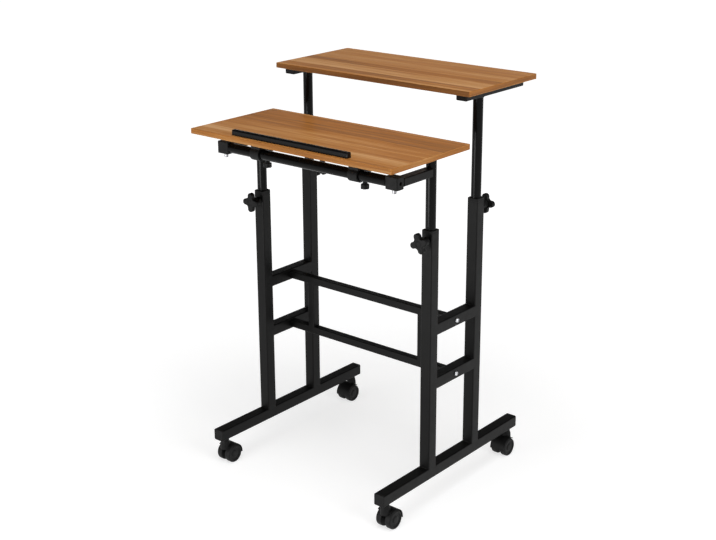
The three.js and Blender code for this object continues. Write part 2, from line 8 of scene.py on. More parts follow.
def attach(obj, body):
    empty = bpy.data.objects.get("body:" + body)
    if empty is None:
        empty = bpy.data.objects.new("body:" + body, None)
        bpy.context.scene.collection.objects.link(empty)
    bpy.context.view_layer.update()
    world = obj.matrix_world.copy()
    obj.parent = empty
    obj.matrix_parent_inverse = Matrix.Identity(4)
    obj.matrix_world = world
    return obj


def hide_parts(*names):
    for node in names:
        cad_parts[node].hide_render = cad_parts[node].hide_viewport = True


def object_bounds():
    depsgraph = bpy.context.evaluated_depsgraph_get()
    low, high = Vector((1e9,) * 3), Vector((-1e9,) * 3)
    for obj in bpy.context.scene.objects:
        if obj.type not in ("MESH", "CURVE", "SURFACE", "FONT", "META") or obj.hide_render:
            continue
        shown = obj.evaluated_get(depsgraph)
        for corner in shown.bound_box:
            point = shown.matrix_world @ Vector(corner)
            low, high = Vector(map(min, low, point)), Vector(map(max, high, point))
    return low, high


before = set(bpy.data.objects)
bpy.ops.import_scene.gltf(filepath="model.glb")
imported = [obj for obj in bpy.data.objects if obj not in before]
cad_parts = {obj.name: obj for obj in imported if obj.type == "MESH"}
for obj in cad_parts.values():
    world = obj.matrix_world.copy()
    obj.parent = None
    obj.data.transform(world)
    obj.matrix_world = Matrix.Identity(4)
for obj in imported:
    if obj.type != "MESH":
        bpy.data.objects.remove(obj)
cad_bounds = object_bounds()

# Viewpoint: a long lens some 3 m from the desk, off its front right corner. It stands above the
# shelf and looks down, so that the uprights lean only a little in the picture.
EYE = (1.98661, -2.40595, 1.61977)
LOOK_DOWN = 17.991
LOOK_ROUND = 39.9128
ROLL = -0.307

lens = bpy.data.cameras.new("corner_view")
lens.sensor_width = 36
lens.lens = 65.336
lens.shift_y = -0.0419
corner_view = bpy.data.objects.new("corner_view", lens)
bpy.context.scene.collection.objects.link(corner_view)
aim = Euler((math.radians(90 - LOOK_DOWN), 0, math.radians(LOOK_ROUND))).to_matrix()
aim = aim @ Matrix.Rotation(math.radians(ROLL), 3, "Z")
corner_view.matrix_world = Matrix.Translation(EYE) @ aim.to_4x4()
bpy.context.scene.camera = corner_view


# Foot tubes: 30 mm square steel tube with 1.5 mm walls and rolled corners, one under each side
# frame, drilled underneath for the caster stems. The coat is a satin black powder, sprayed on
# and baked, with its fine orange peel.
FOOT_X = 0.27
FOOT_LOW = 0.07
FOOT_TOP = 0.1
FOOT_END = 0.279
TUBE_HALF = 0.015
TUBE_CORNER = 0.003
TUBE_WALL = 0.0015
STEM_Y = 0.258
STEM_HOLE = 0.0053


def block(name, low, high):
    bpy.ops.object.select_all(action="DESELECT")
    size = Vector(high) - Vector(low)
    middle = (Vector(low) + Vector(high)) / 2
    bpy.ops.mesh.primitive_cube_add(size=1, location=middle, scale=size)
    piece = bpy.context.object
    piece.name = name
    bpy.ops.object.transform_apply(location=True, rotation=True, scale=True)
    return piece


def select_only(piece):
    bpy.ops.object.select_all(action="DESELECT")
    piece.select_set(True)
    bpy.context.view_layer.objects.active = piece


def open_for_edit(piece):
    select_only(piece)
    bpy.ops.object.mode_set(mode="EDIT")


def pick_edges(piece, wanted):
    bpy.ops.mesh.select_mode(type="EDGE")
    bpy.ops.mesh.select_all(action="DESELECT")
    mesh = bmesh.from_edit_mesh(piece.data)
    for edge in mesh.edges:
        if wanted(edge.verts[0].co, edge.verts[1].co):
            edge.select_set(True)
    bmesh.update_edit_mesh(piece.data)


def pick_faces(piece, wanted):
    bpy.ops.mesh.select_mode(type="FACE")
    bpy.ops.mesh.select_all(action="DESELECT")
    mesh = bmesh.from_edit_mesh(piece.data)
    for face in mesh.faces:
        if wanted(face.calc_center_median(), face.normal):
            face.select_set(True)
    bmesh.update_edit_mesh(piece.data)


def running_along(axis):
    return lambda a, b: abs((b - a)[axis]) > 0.9 * (b - a).length


def round_edges(piece, wanted, radius, steps):
    open_for_edit(piece)
    pick_edges(piece, wanted)
    bpy.ops.mesh.bevel(offset=radius, segments=steps, affect="EDGES")
    bpy.ops.object.mode_set(mode="OBJECT")


def square_tube(name, low, high, axis, corner, wall):
    tube = block(name, low, high)
    round_edges(tube, running_along(axis), corner, 4)
    open_for_edit(tube)
    pick_faces(tube, lambda centre, normal: abs(normal[axis]) > 0.95)
    bpy.ops.mesh.inset(thickness=wall)
    bpy.ops.mesh.bridge_edge_loops()
    bpy.ops.mesh.select_all(action="SELECT")
    bpy.ops.mesh.normals_make_consistent(inside=False)
    bpy.ops.object.mode_set(mode="OBJECT")
    return tube


def cut_with(piece, cutter, operation="DIFFERENCE"):
    select_only(piece)
    bpy.ops.object.modifier_add(type="BOOLEAN")
    cut = piece.modifiers[-1]
    cut.operation = operation
    cut.solver = "EXACT"
    cut.object = cutter
    bpy.ops.object.modifier_apply(modifier=cut.name)
    bpy.data.objects.remove(cutter)


def drill(piece, start, reach, radius, facets=32):
    direction = Vector(reach)
    bpy.ops.object.select_all(action="DESELECT")
    bpy.ops.mesh.primitive_cylinder_add(
        vertices=facets, radius=radius, depth=direction.length, location=Vector(start) + direction / 2,
        rotation=direction.to_track_quat("Z", "Y").to_euler())
    bit = bpy.context.object
    bpy.ops.object.transform_apply(location=True, rotation=True, scale=True)
    cut_with(piece, bit)


def copied(piece, name, move=(0, 0, 0), flip=(1, 1, 1)):
    select_only(piece)
    bpy.ops.object.duplicate()
    twin = bpy.context.object
    twin.name = name
    twin.location = move
    twin.scale = flip
    bpy.ops.object.transform_apply(location=True, rotation=True, scale=True)
    open_for_edit(twin)
    bpy.ops.mesh.select_all(action="SELECT")
    bpy.ops.mesh.normals_make_consistent(inside=False)
    bpy.ops.object.mode_set(mode="OBJECT")
    return twin


def mirrored(piece):
    return copied(piece, piece.name.replace("right", "left"), flip=(-1, 1, 1))


def new_finish(name, colour, roughness, metallic=0.0, specular=0.5):
    material = bpy.data.materials.new(name)
    material.use_nodes = True
    shader = material.node_tree.nodes["Principled BSDF"]
    shader.inputs["Base Color"].default_value = (*colour, 1)
    shader.inputs["Roughness"].default_value = roughness
    shader.inputs["Metallic"].default_value = metallic
    shader.inputs["Specular IOR Level"].default_value = specular
    return material, material.node_tree, shader


def on_object(tree, scale=(1, 1, 1)):
    place = tree.nodes.new("ShaderNodeTexCoord")
    mapping = tree.nodes.new("ShaderNodeMapping")
    mapping.inputs["Scale"].default_value = scale
    tree.links.new(place.outputs["Object"], mapping.inputs["Vector"])
    return mapping.outputs["Vector"]


def speckle(tree, vector, scale, detail=2.0, roughness=0.5):
    noise = tree.nodes.new("ShaderNodeTexNoise")
    noise.inputs["Scale"].default_value = scale
    noise.inputs["Detail"].default_value = detail
    noise.inputs["Roughness"].default_value = roughness
    tree.links.new(vector, noise.inputs["Vector"])
    return noise.outputs["Fac"]


def spread(tree, value, low, high, start=0.3, end=0.7):
    span = tree.nodes.new("ShaderNodeMapRange")
    span.inputs["From Min"].default_value = start
    span.inputs["From Max"].default_value = end
    span.inputs["To Min"].default_value = low
    span.inputs["To Max"].default_value = high
    tree.links.new(value, span.inputs["Value"])
    return span.outputs["Result"]


def tint(tree, value, stops):
    ramp = tree.nodes.new("ShaderNodeValToRGB")
    scale = ramp.color_ramp.elements
    scale[0].position, scale[1].position = stops[0][0], stops[-1][0]
    scale[0].color, scale[1].color = (*stops[0][1], 1), (*stops[-1][1], 1)
    for position, colour in stops[1:-1]:
        scale.new(position).color = (*colour, 1)
    tree.links.new(value, ramp.inputs["Fac"])
    return ramp.outputs["Color"]


def relief(tree, shader, height, depth):
    bump = tree.nodes.new("ShaderNodeBump")
    bump.inputs["Strength"].default_value = 1
    bump.inputs["Distance"].default_value = depth
    tree.links.new(height, bump.inputs["Height"])
    tree.links.new(bump.outputs["Normal"], shader.inputs["Normal"])


def coated(name, dark, light, rough, specular, grain, depth):
    material, tree, shader = new_finish(name, light, rough[1], specular=specular)
    vector = on_object(tree)
    cloud = speckle(tree, vector, 9, 3)
    tree.links.new(tint(tree, cloud, [(0.3, dark), (0.7, light)]), shader.inputs["Base Color"])
    tree.links.new(spread(tree, speckle(tree, vector, 60, 4), *rough), shader.inputs["Roughness"])
    relief(tree, shader, speckle(tree, vector, grain, 2), depth)
    return material


satin_powder_coat = coated("satin_powder_coat", (0.002, 0.002, 0.002), (0.0045, 0.0045, 0.0042),
                           (0.36, 0.46), 0.13, 900, 0.00006)


def dress(piece, material, slot, body, *stood_for):
    select_only(piece)
    bpy.ops.object.shade_smooth_by_angle(angle=math.radians(32))
    bpy.ops.object.modifier_add(type="WEIGHTED_NORMAL")
    evened = piece.modifiers[-1]
    evened.keep_sharp = True
    bpy.ops.object.modifier_apply(modifier=evened.name)
    piece.data.materials.clear()
    piece.data.materials.append(material)
    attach(piece, body)
    if stood_for:
        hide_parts(*stood_for)


def dress_pair(piece, material, slot, body, *stood_for):
    twin = mirrored(piece)
    dress(piece, material, slot, body, *stood_for)
    dress(twin, material, slot, body, *[node.replace("right", "left") for node in stood_for])


foot = square_tube("foot_tube_right", (FOOT_X - TUBE_HALF, -FOOT_END, FOOT_LOW),
                   (FOOT_X + TUBE_HALF, FOOT_END, FOOT_TOP), 1, TUBE_CORNER, TUBE_WALL)
for way in (-1, 1):
    drill(foot, (FOOT_X, way * STEM_Y, FOOT_LOW - 0.003), (0, 0, 0.008), STEM_HOLE)
dress_pair(foot, satin_powder_coat, "frame_steel", "base", "foot_right")


# End plugs of the feet: moulded black plastic caps, 3 mm proud, with a softened rim and a
# slightly sunken face. A hollow tongue grips the bore of the tube.
PLUG_PROUD = 0.003
PLUG_TONGUE = 0.008
PLUG_PLAY = 0.0001

moulded_plastic = coated("grained_black_plastic", (0.0025, 0.0025, 0.0025), (0.005, 0.005, 0.005),
                         (0.5, 0.62), 0.17, 1600, 0.00008)


def lying_at(axis, *places):
    def wanted(a, b):
        return any(abs(a[axis] - p) < 2e-5 and abs(b[axis] - p) < 2e-5 for p in places)
    return wanted


def facing(axis, way):
    return lambda centre, normal: way * normal[axis] > 0.99


def end_plug(name, low, high, corner, wall):
    plug = block(name, low, high)
    round_edges(plug, running_along(1), corner, 4)
    round_edges(plug, lying_at(1, low[1]), 0.001, 3)
    open_for_edit(plug)
    pick_faces(plug, facing(1, -1))
    bpy.ops.mesh.inset(thickness=0.0009)
    bpy.ops.mesh.inset(thickness=0.0004, depth=-0.0004)
    pick_faces(plug, facing(1, 1))
    bpy.ops.mesh.inset(thickness=wall)
    bpy.ops.mesh.extrude_region_move(TRANSFORM_OT_translate={"value": (0, PLUG_TONGUE, 0)})
    bpy.ops.mesh.inset(thickness=0.0008)
    bpy.ops.mesh.extrude_region_move(TRANSFORM_OT_translate={"value": (0, 0.001 - PLUG_TONGUE, 0)})
    bpy.ops.object.mode_set(mode="OBJECT")
    return plug


plug = end_plug("foot_plug_front_right", (FOOT_X - TUBE_HALF, -FOOT_END - PLUG_PROUD, FOOT_LOW),
                (FOOT_X + TUBE_HALF, -FOOT_END, FOOT_TOP), TUBE_CORNER, TUBE_WALL + PLUG_PLAY)
for piece in (plug, copied(plug, "foot_plug_rear_right", flip=(1, -1, 1))):
    dress_pair(piece, moulded_plastic, "black_plastic", "base", "foot_right")


# Posts: two lengths of the same tube stand on each foot, the rear one 37 mm taller. Their sides
# run flush into the foot. A turned boss with the clamp knob's thread is welded to the outer face.
FRONT_Y = -0.091
REAR_Y = 0.091
FRONT_POST_TOP = 0.7027
REAR_POST_TOP = 0.7397
FRONT_KNOB_Z = 0.686
REAR_KNOB_Z = 0.723
THREAD_BORE = 0.0043


def turned(name, rings, facets=48, hollow=False):
    radius, height = rings[0]
    bpy.ops.object.select_all(action="DESELECT")
    bpy.ops.mesh.primitive_circle_add(vertices=facets, radius=radius, location=(0, 0, height))
    piece = bpy.context.object
    piece.name = name
    bpy.ops.object.transform_apply(location=True, rotation=True, scale=True)
    bpy.ops.object.mode_set(mode="EDIT")
    bpy.ops.mesh.select_mode(type="EDGE")
    bpy.ops.mesh.select_all(action="SELECT")
    for (r0, z0), (r1, z1) in zip(rings, rings[1:]):
        bpy.ops.mesh.extrude_region_move(TRANSFORM_OT_translate={"value": (0, 0, z1 - z0)})
        bpy.ops.transform.resize(value=(r1 / r0, r1 / r0, 1), center_override=(0, 0, z1))
    if hollow:
        bpy.ops.mesh.select_all(action="DESELECT")
        bpy.ops.mesh.select_non_manifold()
        bpy.ops.mesh.bridge_edge_loops()
    else:
        bpy.ops.mesh.select_all(action="SELECT")
        bpy.ops.mesh.fill_holes(sides=0)
    bpy.ops.mesh.select_all(action="SELECT")
    bpy.ops.mesh.normals_make_consistent(inside=False)
    bpy.ops.object.mode_set(mode="OBJECT")
    return piece


def turn(piece, axis, degrees):
    select_only(piece)
    piece.rotation_euler[axis] = math.radians(degrees)
    bpy.ops.object.transform_apply(location=True, rotation=True, scale=True)


def put(piece, place):
    select_only(piece)
    piece.location = place
    bpy.ops.object.transform_apply(location=True, rotation=True, scale=True)


def joined(name, pieces):
    bpy.ops.object.select_all(action="DESELECT")
    for piece in pieces:
        piece.select_set(True)
    bpy.context.view_layer.objects.active = pieces[0]
    if len(pieces) > 1:
        bpy.ops.object.join()
    whole = bpy.context.object
    whole.name = name
    return whole


def post_with_boss(name, y, way, top, knob_z):
    post = square_tube(name, (FOOT_X - TUBE_HALF, y - TUBE_HALF, FOOT_TOP - TUBE_CORNER),
                       (FOOT_X + TUBE_HALF, y + TUBE_HALF, top), 2, TUBE_CORNER, TUBE_WALL)
    face = y + way * TUBE_HALF
    drill(post, (FOOT_X, face + way * 0.003, knob_z), (0, -way * 0.008, 0), THREAD_BORE)
    boss = turned(name + "_boss", [
        (0.0098, 0), (0.0089, 0.0005), (0.0082, 0.0014), (0.008, 0.0026), (0.008, 0.0053),
        (0.0074, 0.006), (0.0048, 0.006), (THREAD_BORE, 0.0055), (THREAD_BORE, 0),
    ], hollow=True)
    turn(boss, 0, -way * 90)
    put(boss, (FOOT_X, face, knob_z))
    return joined(name, [post, boss])


front_post = post_with_boss("front_post_tube_right", FRONT_Y, -1, FRONT_POST_TOP, FRONT_KNOB_Z)
rear_post = post_with_boss("rear_post_tube_right", REAR_Y, 1, REAR_POST_TOP, REAR_KNOB_Z)
dress_pair(front_post, satin_powder_coat, "frame_steel", "base", "front_post_right")
dress_pair(rear_post, satin_powder_coat, "frame_steel", "base", "rear_post_right")


# Rungs: two short lengths of the tube join the posts of each side frame, their outer faces
# ground flush with the posts. Their ends stay clear of the bore that the slides run in.
RUNG_HEIGHTS = {"upper": 0.46, "lower": 0.32}
RUNG_END = 0.079
BOLT_HOLE = 0.0033
BORE_HALF = 0.0137

for level, height in RUNG_HEIGHTS.items():
    rung = square_tube(level + "_rung_tube_right", (FOOT_X - TUBE_HALF, -RUNG_END, height - TUBE_HALF),
                       (FOOT_X + TUBE_HALF, RUNG_END, height + TUBE_HALF), 1, TUBE_CORNER, TUBE_WALL)
    drill(rung, (FOOT_X + 0.02, 0, height), (-0.04, 0, 0), BOLT_HOLE)
    for y in (FRONT_Y, REAR_Y):
        cut_with(rung, block("post_bore", (FOOT_X - BORE_HALF, y - BORE_HALF, height - 0.02),
                             (FOOT_X + BORE_HALF, y + BORE_HALF, height + 0.02)))
    dress_pair(rung, satin_powder_coat, "frame_steel", "base", level + "_rung_right")


# Weld beads of the side frames: a rippled fillet along the top and bottom of each rung end, and
# along the front and back of each post on its foot, under the same coat.
BEAD_RADIUS = 0.0015
FINE_BEAD_RADIUS = 0.0012
RIPPLE = 0.0016


def weld_bead(name, length, radius):
    ripples = round(length / RIPPLE)
    rings = [(radius * 0.3, 0)]
    for step in range(1, ripples):
        rings.append((radius * (1.08 if step % 2 else 0.92), length * step / ripples))
    rings.append((radius * 0.3, length))
    bead = turned(name, rings, facets=10)
    put(bead, (0, 0, -length / 2))
    return bead


def beads_along_x(name, length, places):
    pieces = []
    for place in places:
        bead = weld_bead(name, length, BEAD_RADIUS)
        turn(bead, 1, 90)
        put(bead, place)
        pieces.append(bead)
    return joined(name, pieces)


bead_places = []
for y in (FRONT_Y, REAR_Y):
    for way in (-1, 1):
        bead_places.append((FOOT_X, y + way * TUBE_HALF, FOOT_TOP))
for height in RUNG_HEIGHTS.values():
    for way in (-1, 1):
        for level in (-1, 1):
            bead_places.append((FOOT_X, way * (REAR_Y - TUBE_HALF), height + level * TUBE_HALF))
frame_beads = beads_along_x("side_frame_welds_right", 0.0235, bead_places)
dress_pair(frame_beads, satin_powder_coat, "frame_steel", "base")


# Collars: plastic guides pressed into the post tops, flush with the tube, with softened edges
# and a lead-in round the bore. The sliding posts run in them.
FRONT_COLLAR_TOP = 0.711
REAR_COLLAR_TOP = 0.748
COLLAR_HEIGHT = 0.008
COLLAR_SLEEVE = 0.0132
BORE_RADIUS = 0.0128

for end, y, top in (("front", FRONT_Y, FRONT_COLLAR_TOP), ("rear", REAR_Y, REAR_COLLAR_TOP)):
    base = top - COLLAR_HEIGHT
    collar = block(end + "_guide_collar_right", (FOOT_X - TUBE_HALF, y - TUBE_HALF, base),
                   (FOOT_X + TUBE_HALF, y + TUBE_HALF, top))
    round_edges(collar, running_along(2), TUBE_CORNER, 4)
    round_edges(collar, lying_at(2, top), 0.0012, 3)
    sleeve = block("sleeve", (FOOT_X - COLLAR_SLEEVE, y - COLLAR_SLEEVE, base - 0.01),
                   (FOOT_X + COLLAR_SLEEVE, y + COLLAR_SLEEVE, base + 0.001))
    round_edges(sleeve, running_along(2), 0.0022, 3)
    cut_with(collar, sleeve, "UNION")
    reamer = turned("reamer", [
        (BORE_RADIUS, base - 0.012), (BORE_RADIUS, top - 0.0009), (BORE_RADIUS + 0.0012, top + 0.0003),
    ], facets=64)
    put(reamer, (FOOT_X, y, 0))
    cut_with(collar, reamer)
    dress_pair(collar, moulded_plastic, "black_plastic", "base", end + "_collar_right")


# Cross frame: two 20 mm square bars between the rungs and two struts welded between the bars,
# in the same black powder.
BAR_HALF = 0.01
BAR_END = 0.255
BAR_CORNER = 0.002
BAR_WALL = 0.0012
STRUT_X = 0.182
STRUT_LOW = 0.33
STRUT_HIGH = 0.45

for level, height in RUNG_HEIGHTS.items():
    bar = square_tube(level + "_crossbar_tube", (-BAR_END, -BAR_HALF, height - BAR_HALF),
                      (BAR_END, BAR_HALF, height + BAR_HALF), 0, BAR_CORNER, BAR_WALL)
    dress(bar, satin_powder_coat, "frame_steel", "base", level + "_crossbar")

strut = square_tube("strut_tube_right", (STRUT_X - BAR_HALF, -BAR_HALF, STRUT_LOW - BAR_CORNER),
                    (STRUT_X + BAR_HALF, BAR_HALF, STRUT_HIGH + BAR_CORNER), 2, BAR_CORNER, BAR_WALL)
dress_pair(strut, satin_powder_coat, "frame_steel", "base", "strut_right")

strut_beads = []
for x in (STRUT_X - BAR_HALF, STRUT_X + BAR_HALF, -STRUT_X - BAR_HALF, -STRUT_X + BAR_HALF):
    for z in (STRUT_LOW, STRUT_HIGH):
        bead = weld_bead("strut_weld", 0.0155, FINE_BEAD_RADIUS)
        turn(bead, 0, 90)
        put(bead, (x, 0, z))
        strut_beads.append(bead)
dress(joined("strut_welds", strut_beads), satin_powder_coat, "frame_steel", "base")


# Bolts: four bright zinc button heads with a hexagon socket hold the cross frame to the rungs.
# Each shank passes the rung into a plug in the bar's end.
BOLT_X = 0.2853


def plated(name, dark, light):
    material, tree, shader = new_finish(name, light, 0.3, metallic=1)
    vector = on_object(tree)
    cloud = speckle(tree, vector, 300, 3)
    tree.links.new(tint(tree, cloud, [(0.3, dark), (0.7, light)]), shader.inputs["Base Color"])
    tree.links.new(spread(tree, speckle(tree, vector, 800, 2), 0.24, 0.42), shader.inputs["Roughness"])
    relief(tree, shader, speckle(tree, vector, 2500, 2), 0.00002)
    return material


bright_zinc = plated("bright_zinc", (0.6, 0.61, 0.64), (0.8, 0.81, 0.82))
bolt = turned("cross_bolt", [
    (0.0024, -0.042), (0.003, -0.0414), (0.003, 0), (0.0058, 0), (0.0058, 0.0013), (0.0055, 0.0024),
    (0.0048, 0.0033), (0.0038, 0.0039), (0.0034, 0.004),
])
drill(bolt, (0, 0, 0.005), (0, 0, -0.0035), 0.0026, facets=6)
turn(bolt, 1, 90)
for level, height in RUNG_HEIGHTS.items():
    placed = copied(bolt, level + "_socket_bolt_right", move=(BOLT_X, 0, height))
    dress_pair(placed, bright_zinc, "zinc", "base", level + "_bolt_right")
bpy.data.objects.remove(bolt)


# Caster bodies: one black moulding each, with a guard arched over both wheels, a web between
# them and a neck that widens towards the wheels. A steel stem turns in the foot, and a steel
# axle passes through the web.
CORNERS = {"front_right": (1, -1), "front_left": (-1, -1), "rear_right": (1, 1), "rear_left": (-1, 1)}
AXLE_Y = 0.244
AXLE_Z = 0.024
TRAIL = 0.014
GUARD_INNER = 0.0248
GUARD_OUTER = 0.0272
GUARD_HALF = 0.022
GUARD_REAR = -8
GUARD_SWEEP = 134
WEB_HALF = 0.005
WEB_RADIUS = 0.026


def soften(piece, radius, steps, sharpness=40):
    open_for_edit(piece)
    bpy.ops.mesh.select_mode(type="EDGE")
    bpy.ops.mesh.select_all(action="DESELECT")
    bpy.ops.mesh.edges_select_sharp(sharpness=math.radians(sharpness))
    bpy.ops.mesh.bevel(offset=radius, segments=steps, affect="EDGES", clamp_overlap=True)
    bpy.ops.object.mode_set(mode="OBJECT")


def disc(name, radius, half, axis, facets=64):
    bpy.ops.object.select_all(action="DESELECT")
    bpy.ops.mesh.primitive_cylinder_add(vertices=facets, radius=radius, depth=2 * half)
    piece = bpy.context.object
    piece.name = name
    if axis != 2:
        turn(piece, 1 - axis, 90)
    return piece


def bisected(piece, point, outwards):
    open_for_edit(piece)
    bpy.ops.mesh.select_all(action="SELECT")
    bpy.ops.mesh.bisect(plane_co=point, plane_no=outwards, use_fill=True, clear_outer=True)
    bpy.ops.object.mode_set(mode="OBJECT")


bpy.ops.object.select_all(action="DESELECT")
bpy.ops.mesh.primitive_plane_add(size=1)
guard = bpy.context.object
guard.scale = (2 * GUARD_HALF, GUARD_OUTER - GUARD_INNER, 1)
put(guard, (0, (GUARD_INNER + GUARD_OUTER) / 2, 0))
turn(guard, 0, GUARD_REAR)
open_for_edit(guard)
bpy.ops.mesh.select_all(action="SELECT")
bpy.ops.mesh.spin(steps=32, angle=-math.radians(GUARD_SWEEP), center=(0, 0, 0), axis=(1, 0, 0))
bpy.ops.mesh.select_all(action="SELECT")
bpy.ops.mesh.remove_doubles(threshold=1e-6)
bpy.ops.mesh.normals_make_consistent(inside=False)
bpy.ops.object.mode_set(mode="OBJECT")
soften(guard, 0.0009, 3)

tab = block("guard_tab", (-0.006, GUARD_INNER + 0.0002, -0.0062), (0.006, GUARD_OUTER + 0.0004, -0.0014))
soften(tab, 0.0008, 2)

web = disc("web", WEB_RADIUS, WEB_HALF, 0, 96)
bisected(web, (0, -0.016, 0.022), (0, -0.9455, -0.3254))
bisected(web, (0, 0.0069, -0.004), (0, 0.0105, -1))
soften(web, 0.0006, 2)
hub = disc("hub", 0.008, WEB_HALF - 0.0002, 0)
spacer = disc("spacer", 0.006, WEB_HALF + 0.0007, 0)

neck = turned("neck", [
    (0.0128, 0.0158), (0.013, 0.0164), (0.013, 0.026), (0.0124, 0.0312), (0.0112, 0.036), (0.0101, 0.0404),
    (0.0096, 0.0436), (0.0096, 0.0452), (0.0091, 0.0457),
])
put(neck, (0, -TRAIL, 0))
cut_with(neck, disc("wheel_space", GUARD_INNER, 0.03, 0, 96))

moulding = joined("caster_moulding", [guard, tab, web, hub, spacer, neck])
stem = turned("stem", [(0.005, 0.0457), (0.005, 0.066), (0.0038, 0.0677)])
put(stem, (0, -TRAIL, 0))
axle = turned("axle", [(0.0024, -0.018), (0.003, -0.0174), (0.003, 0.0174), (0.0024, 0.018)])
turn(axle, 1, 90)
steelwork = joined("caster_steelwork", [stem, axle])

for corner, (across, along) in CORNERS.items():
    end, side = corner.split("_")
    place = (across * FOOT_X, along * AXLE_Y, AXLE_Z)
    for model, kind, material, slot in (
            (moulding, "body", moulded_plastic, "black_plastic"), (steelwork, "pins", bright_zinc, "zinc")):
        piece = copied(model, f"{end}_caster_{kind}_{side}", move=place, flip=(1, -along, 1))
        dress(piece, material, slot, "caster_" + end[0] + side[0], f"{end}_caster_hood_{side}")
bpy.data.objects.remove(moulding)
bpy.data.objects.remove(steelwork)


# Caster wheels: nylon, 48 mm across and 16 mm wide, with round shoulders, a moulding line round
# the tread, and a dished face with a raised cap over the blind bore.
WHEEL_GAP = 0.006

wheel_nylon = coated("black_wheel_nylon", (0.005, 0.005, 0.005), (0.009, 0.009, 0.009), (0.46, 0.62),
                     0.18, 900, 0.00006)
wheel = turned("wheel", [
    (0.0033, 0.0116), (0.0033, 0.0003), (0.0036, 0), (0.0212, 0), (0.0228, 0.0004), (0.0237, 0.0014),
    (0.024, 0.0028), (0.024, 0.0074), (0.0237, 0.0077), (0.024, 0.008), (0.024, 0.0122), (0.0237, 0.0138),
    (0.0228, 0.0151), (0.0213, 0.0158), (0.0196, 0.016), (0.0184, 0.0158), (0.0177, 0.0149),
    (0.0172, 0.0141), (0.0158, 0.0138), (0.0112, 0.0139), (0.0098, 0.0141), (0.0093, 0.0149),
    (0.0084, 0.0156), (0.006, 0.0159), (0.002, 0.016),
], facets=96)
turn(wheel, 1, 90)
for corner, (across, along) in CORNERS.items():
    end, side = corner.split("_")
    for where, way in (("outer", across), ("inner", -across)):
        place = (across * FOOT_X + way * WHEEL_GAP, along * AXLE_Y, AXLE_Z)
        roller = copied(wheel, f"{end}_{where}_roller_{side}", move=place, flip=(way, 1, 1))
        dress(roller, wheel_nylon, "wheel_black", f"wheel_{end[0]}{side[0]}_{where}",
              f"{end}_wheel_{where}_{side}")
bpy.data.objects.remove(wheel)


# Desk posts: round steel tube, 25 mm across, that slides in the front posts. It is painted a
# smoother, glossier black than the frame, and a square plastic glide is fitted on its lower end.
SLIDE_RADIUS = 0.0125
SLIDE_BORE = 0.011
GLIDE_HALF = 0.0132
GLIDE_HEIGHT = 0.02
DESK_POST_LOW = 0.406
DESK_POST_TOP = 0.886


def gloss_paint():
    material, tree, shader = new_finish("smooth_black_paint", (0.002, 0.002, 0.002), 0.2, specular=0.09)
    vector = on_object(tree)
    cloud = speckle(tree, vector, 20, 3)
    shades = [(0.3, (0.0012, 0.0012, 0.0012)), (0.7, (0.003, 0.003, 0.003))]
    tree.links.new(tint(tree, cloud, shades), shader.inputs["Base Color"])
    drawn = on_object(tree, (1, 1, 0.02))
    tree.links.new(spread(tree, speckle(tree, drawn, 500, 2), 0.17, 0.24), shader.inputs["Roughness"])
    relief(tree, shader, speckle(tree, vector, 400, 2), 0.00001)
    return material


smooth_black_paint = gloss_paint()


def round_tube(name, low, high):
    return turned(name, [
        (SLIDE_RADIUS - 0.0004, low), (SLIDE_RADIUS, low + 0.0004), (SLIDE_RADIUS, high - 0.0004),
        (SLIDE_RADIUS - 0.0004, high), (SLIDE_BORE + 0.0003, high), (SLIDE_BORE, high - 0.0003),
        (SLIDE_BORE, low + 0.0003), (SLIDE_BORE + 0.0003, low),
    ], facets=72, hollow=True)


def glide_block(name, y, low):
    glide = block(name, (FOOT_X - GLIDE_HALF, y - GLIDE_HALF, low),
                  (FOOT_X + GLIDE_HALF, y + GLIDE_HALF, low + GLIDE_HEIGHT))
    round_edges(glide, running_along(2), 0.0024, 3)
    round_edges(glide, lying_at(2, low, low + GLIDE_HEIGHT), 0.0008, 2)
    drill(glide, (FOOT_X, y, low - 0.002), (0, 0, GLIDE_HEIGHT + 0.004), SLIDE_RADIUS, 72)
    return glide


def slide_pair(name, y, low, top, body):
    tube = round_tube(name + "_slide_tube_right", low, top)
    put(tube, (FOOT_X, y, 0))
    dress_pair(tube, smooth_black_paint, "slide_steel", body, name + "_post_right")
    glide = glide_block(name + "_slide_glide_right", y, low)
    dress_pair(glide, moulded_plastic, "black_plastic", body, name + "_post_right")


slide_pair("desk", FRONT_Y, DESK_POST_LOW, DESK_POST_TOP, "desk_frame")


# Rest pads: soft black rubber caps pushed into the tops of the desk posts. The flat desk top
# rests on their domed faces.
pad_rubber = coated("soft_black_rubber", (0.01, 0.01, 0.01), (0.017, 0.017, 0.017), (0.7, 0.85),
                    0.2, 700, 0.00008)
pad = turned("rest_cap_right", [
    (0.0101, 0.8743), (0.0107, 0.8749), (0.0107, 0.8863), (0.0121, 0.8863), (0.0125, 0.8866),
    (0.0125, 0.8877), (0.0121, 0.8887), (0.0112, 0.8894), (0.0094, 0.8897),
])
put(pad, (FOOT_X, FRONT_Y, 0))
dress_pair(pad, pad_rubber, "soft_rubber", "desk_frame", "desk_rest_pad_right")


# Side rails: 25 x 20 mm tube, coped round the desk posts and welded to them, in black powder.
RAIL_Z = 0.85
RAIL_FRONT = -0.2067
RAIL_REAR = -0.1005
RAIL_WIDTH = 0.025
RAIL_HEIGHT = 0.02
RAIL_CORNER = 0.0025

